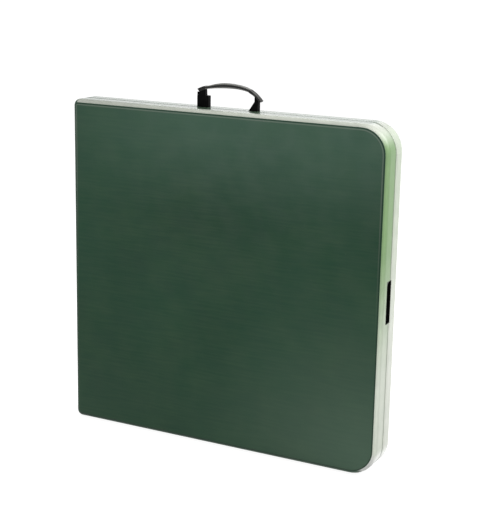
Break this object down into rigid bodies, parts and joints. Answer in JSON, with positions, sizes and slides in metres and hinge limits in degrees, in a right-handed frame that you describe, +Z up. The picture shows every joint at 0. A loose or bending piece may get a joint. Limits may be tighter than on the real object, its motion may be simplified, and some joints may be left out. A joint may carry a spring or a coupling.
{
  "type": "folding camping table",
  "caption": "Fold-in-half camping table, closed and standing on its long edge like a case, with a carry handle, hidden folding telescopic legs and a sliding latch.",
  "frame": {"origin": "centre of the bounding box on the surface that the closed table stands on", "axes": "+Z up, +Y through the folded thickness from the front half to the rear half, +X from the fold to the table end"},
  "size_m": [0.6274, 0.068, 0.6538],
  "materials": {
    "tabletop_green": "satin moulded polyethylene, fine grain",
    "handle_black": "satin moulded",
    "fitting_black": "moulded nylon",
    "foot_rubber": "moulded rubber",
    "leg_grey": "grey powder coat on steel",
    "plated_steel": "zinc plated"
  },
  "bodies": {
    "front_half": {"front_tabletop": "tabletop_green", "front_side_rails": "leg_grey", "front_rail_screws": "plated_steel", "front_axle_bushes": "fitting_black", "front_stay_bracket": "leg_grey", "front_stay_bracket_screws": "plated_steel", "front_stay_anchor_pin": "plated_steel", "hinge_rivets": "plated_steel", "latch_guide": "fitting_black", "latch_guide_screws": "plated_steel"},
    "front_legs": {"front_leg_axle": "leg_grey", "front_axle_caps": "plated_steel", "front_outer_legs": "leg_grey", "front_leg_cross_bar": "leg_grey"},
    "front_lower_leg": {"front_lower_inner_leg": "leg_grey", "front_lower_leg_guide": "fitting_black", "front_lower_foot": "foot_rubber"},
    "front_lower_lock": {"front_lower_lock_ring": "fitting_black"},
    "front_upper_leg": {"front_upper_inner_leg": "leg_grey", "front_upper_leg_guide": "fitting_black", "front_upper_foot": "foot_rubber"},
    "front_upper_lock": {"front_upper_lock_ring": "fitting_black"},
    "front_upper_stay": {"front_upper_stays": "leg_grey", "front_stay_elbow_pin": "plated_steel"},
    "front_lower_stay": {"front_lower_stays": "leg_grey"},
    "rear_half": {"rear_tabletop": "tabletop_green", "rear_side_rails": "leg_grey", "rear_rail_screws": "plated_steel", "rear_axle_bushes": "fitting_black", "rear_stay_bracket": "leg_grey", "rear_stay_bracket_screws": "plated_steel", "rear_stay_anchor_pin": "plated_steel", "latch_keeper": "plated_steel", "latch_keeper_screws": "plated_steel"},
    "rear_legs": {"rear_leg_axle": "leg_grey", "rear_axle_caps": "plated_steel", "rear_outer_legs": "leg_grey", "rear_leg_cross_bar": "leg_grey"},
    "rear_lower_leg": {"rear_lower_inner_leg": "leg_grey", "rear_lower_leg_guide": "fitting_black", "rear_lower_foot": "foot_rubber"},
    "rear_lower_lock": {"rear_lower_lock_ring": "fitting_black"},
    "rear_upper_leg": {"rear_upper_inner_leg": "leg_grey", "rear_upper_leg_guide": "fitting_black", "rear_upper_foot": "foot_rubber"},
    "rear_upper_lock": {"rear_upper_lock_ring": "fitting_black"},
    "rear_upper_stay": {"rear_upper_stays": "leg_grey", "rear_stay_elbow_pin": "plated_steel"},
    "rear_lower_stay": {"rear_lower_stays": "leg_grey"},
    "latch": {"latch_slider": "fitting_black"},
    "handle": {"handle_strap": "handle_black", "handle_left_leg": "handle_black", "handle_right_leg": "handle_black", "handle_left_sleeve": "handle_black", "handle_right_sleeve": "handle_black"}
  },
  "joints": [
    {"name": "table_fold", "type": "hinge", "parent": "front_half", "child": "rear_half", "pos_m": [-0.3071, 0, 0], "axis": [0, 0, 1], "range_deg": [0, 180]},
    {"name": "front_leg_fold", "type": "hinge", "parent": "front_half", "child": "front_legs", "pos_m": [0.2679, -0.013, 0.305], "axis": [0, 0, -1], "range_deg": [0, 90]},
    {"name": "front_lower_leg_extend", "type": "slide", "parent": "front_legs", "child": "front_lower_leg", "axis": [-1, 0, 0], "range_m": [0, 0.309]},
    {"name": "front_lower_leg_lock", "type": "hinge", "parent": "front_legs", "child": "front_lower_lock", "pos_m": [-0.0621, -0.013, 0.09], "axis": [1, 0, 0], "range_deg": [0, 90]},
    {"name": "front_upper_leg_extend", "type": "slide", "parent": "front_legs", "child": "front_upper_leg", "axis": [-1, 0, 0], "range_m": [0, 0.309]},
    {"name": "front_upper_leg_lock", "type": "hinge", "parent": "front_legs", "child": "front_upper_lock", "pos_m": [-0.0621, -0.013, 0.52], "axis": [1, 0, 0], "range_deg": [0, 90]},
    {"name": "front_stay_upper_fold", "type": "hinge", "parent": "front_half", "child": "front_upper_stay", "pos_m": [0.0679, -0.0185, 0.305], "axis": [0, 0, 1], "range_deg": [0, 49.65]},
    {"name": "front_stay_lower_fold", "type": "hinge", "parent": "front_legs", "child": "front_lower_stay", "pos_m": [0.0179, -0.013, 0.305], "axis": [0, 0, -1], "range_deg": [0, 38.05]},
    {"name": "rear_leg_fold", "type": "hinge", "parent": "rear_half", "child": "rear_legs", "pos_m": [0.2679, 0.013, 0.305], "axis": [0, 0, 1], "range_deg": [0, 90]},
    {"name": "rear_lower_leg_extend", "type": "slide", "parent": "rear_legs", "child": "rear_lower_leg", "axis": [-1, 0, 0], "range_m": [0, 0.309]},
    {"name": "rear_lower_leg_lock", "type": "hinge", "parent": "rear_legs", "child": "rear_lower_lock", "pos_m": [-0.0621, 0.013, 0.06], "axis": [1, 0, 0], "range_deg": [0, 90]},
    {"name": "rear_upper_leg_extend", "type": "slide", "parent": "rear_legs", "child": "rear_upper_leg", "axis": [-1, 0, 0], "range_m": [0, 0.309]},
    {"name": "rear_upper_leg_lock", "type": "hinge", "parent": "rear_legs", "child": "rear_upper_lock", "pos_m": [-0.0621, 0.013, 0.55], "axis": [1, 0, 0], "range_deg": [0, 90]},
    {"name": "rear_stay_upper_fold", "type": "hinge", "parent": "rear_half", "child": "rear_upper_stay", "pos_m": [0.0679, 0.0185, 0.305], "axis": [0, 0, -1], "range_deg": [0, 49.65]},
    {"name": "rear_stay_lower_fold", "type": "hinge", "parent": "rear_legs", "child": "rear_lower_stay", "pos_m": [0.0179, 0.013, 0.305], "axis": [0, 0, 1], "range_deg": [0, 38.05]},
    {"name": "handle_slide", "type": "slide", "parent": "rear_half", "child": "handle", "axis": [0, 0, 1], "range_m": [-0.014, 0]},
    {"name": "latch_slide", "type": "slide", "parent": "front_half", "child": "latch", "axis": [0, 0, -1], "range_m": [0, 0.006]}
  ],
  "couplings": [
    {"joint": "front_leg_fold", "follows": "table_fold", "ratio": 0.5},
    {"joint": "front_lower_leg_extend", "follows": "table_fold", "m_per_rad": 0.098358},
    {"joint": "front_upper_leg_extend", "follows": "table_fold", "m_per_rad": 0.098358},
    {"joint": "front_stay_upper_fold", "follows": "table_fold", "ratio": 0.27584},
    {"joint": "front_stay_lower_fold", "follows": "table_fold", "ratio": 0.21141},
    {"joint": "rear_leg_fold", "follows": "table_fold", "ratio": 0.5},
    {"joint": "rear_lower_leg_extend", "follows": "table_fold", "m_per_rad": 0.098358},
    {"joint": "rear_upper_leg_extend", "follows": "table_fold", "m_per_rad": 0.098358},
    {"joint": "rear_stay_upper_fold", "follows": "table_fold", "ratio": 0.27584},
    {"joint": "rear_stay_lower_fold", "follows": "table_fold", "ratio": 0.21141}
  ]
}
